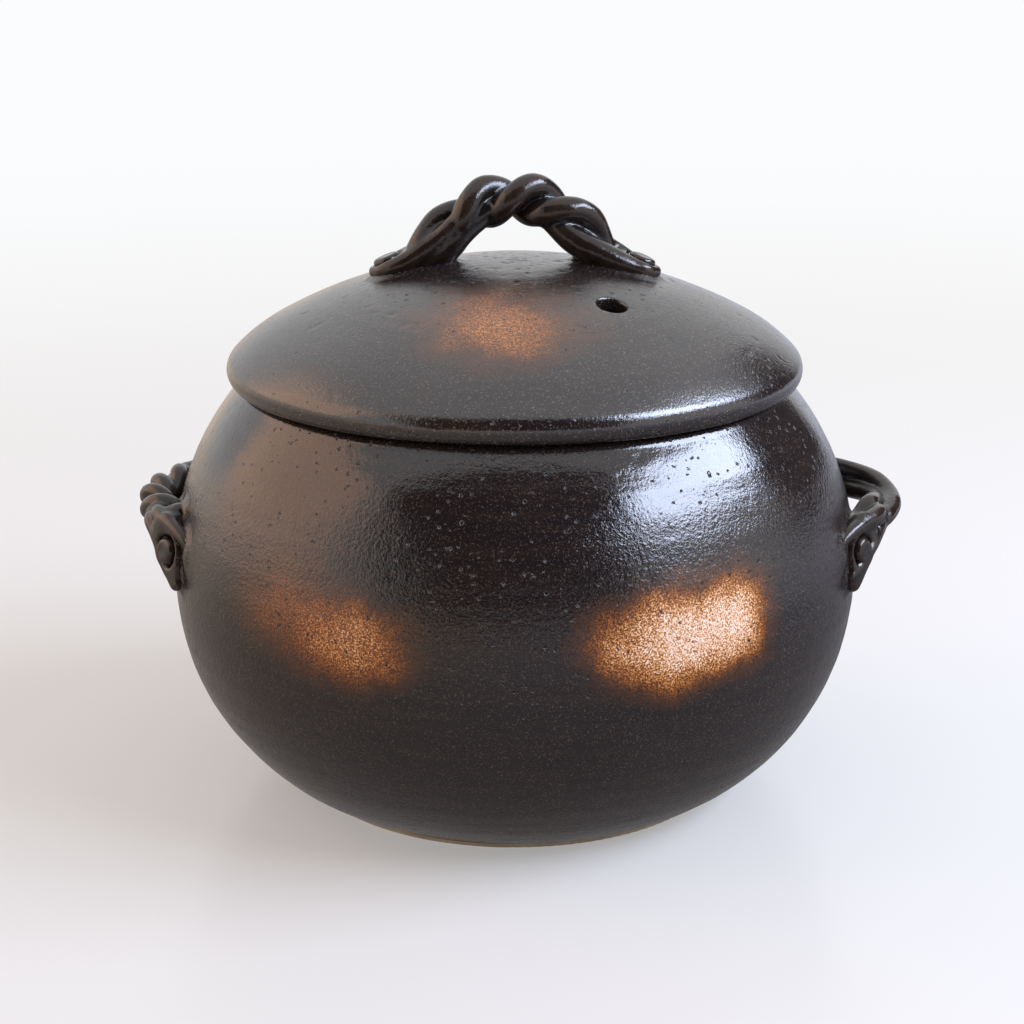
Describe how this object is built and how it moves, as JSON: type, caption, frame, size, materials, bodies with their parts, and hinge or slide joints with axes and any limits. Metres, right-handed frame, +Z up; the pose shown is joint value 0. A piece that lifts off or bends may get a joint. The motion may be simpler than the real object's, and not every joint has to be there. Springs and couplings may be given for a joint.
{
  "type": "donabe clay pot",
  "caption": "Round stoneware rice-cooking pot with a domed lid, steam hole and handles of twisted clay.",
  "frame": {"origin": "middle of the foot ring's underside, on the pot's turning axis", "axes": "+Z up along the pot's turning axis; +X towards the right-hand side handle, along the lid handle; -Y towards the steam hole's side, the front"},
  "size_m": [0.2435, 0.2172, 0.1937],
  "materials": {
    "iron_glaze": "dark iron glaze over coarse clay, satin, with copper-coloured flashes",
    "handle_glaze": "dark iron glaze, glossy where it pooled, browner on edges",
    "bare_clay": "unglazed buff stoneware, sanded smooth"
  },
  "bodies": {
    "pot": {"pot_body": "iron_glaze", "foot_ring": "bare_clay", "left_handle_strand_a": "handle_glaze", "left_handle_strand_b": "handle_glaze", "left_handle_front_lug": "handle_glaze", "left_handle_rear_lug": "handle_glaze", "left_handle_front_button": "handle_glaze", "left_handle_rear_button": "handle_glaze", "right_handle_strand_a": "handle_glaze", "right_handle_strand_b": "handle_glaze", "right_handle_front_lug": "handle_glaze", "right_handle_rear_lug": "handle_glaze", "right_handle_front_button": "handle_glaze", "right_handle_rear_button": "handle_glaze"},
    "lid": {"lid_shell": "iron_glaze", "lid_handle_strand_a": "handle_glaze", "lid_handle_strand_b": "handle_glaze", "lid_handle_left_lug": "handle_glaze", "lid_handle_right_lug": "handle_glaze", "lid_handle_left_button": "handle_glaze", "lid_handle_right_button": "handle_glaze"}
  },
  "joints": [
    {"name": "lid_lift", "type": "slide", "parent": "pot", "child": "lid", "axis": [0, 0, 1], "range_m": [0, 0.12]}
  ]
}
